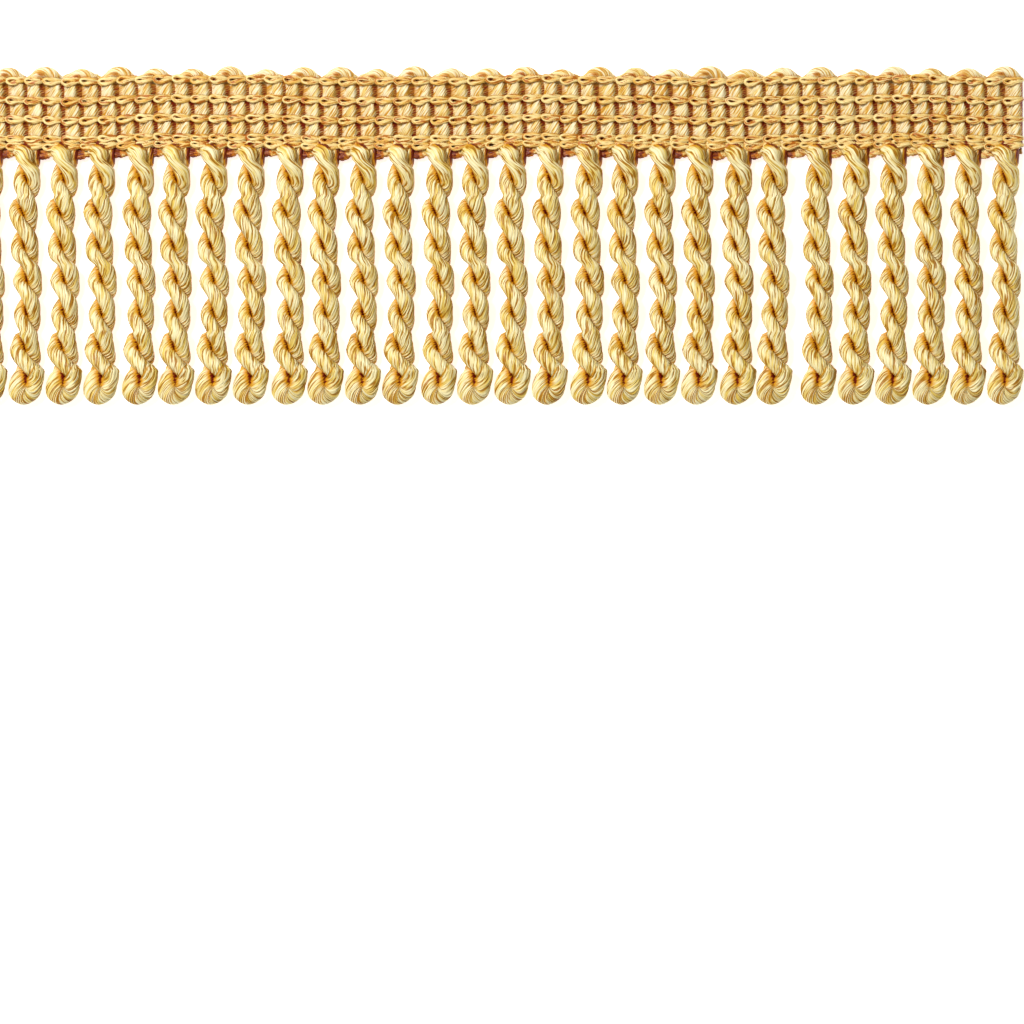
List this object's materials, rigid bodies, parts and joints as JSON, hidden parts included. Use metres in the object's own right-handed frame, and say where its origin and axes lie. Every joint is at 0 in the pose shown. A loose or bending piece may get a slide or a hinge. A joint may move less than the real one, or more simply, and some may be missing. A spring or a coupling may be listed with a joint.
{
  "type": "cord fringe trim",
  "caption": "Cut length of gold bullion fringe: twisted cord loops hang from a chain-stitched heading with a scalloped edge.",
  "frame": {"origin": "middle of the whole trim's outline, on the plane its back lies on", "axes": "+X along the heading, +Y from the cords towards the scalloped edge, +Z out of the face"},
  "size_m": [0.1898, 0.0608, 0.0047],
  "materials": {
    "heading_yarn": "satin rayon yarn, warm gold, chain stitched",
    "cord_yarn": "satin rayon yarn, pale gold, twisted"
  },
  "bodies": {
    "root": {"heading": "heading_yarn", "cord_fringe": "cord_yarn"}
  },
  "joints": []
}
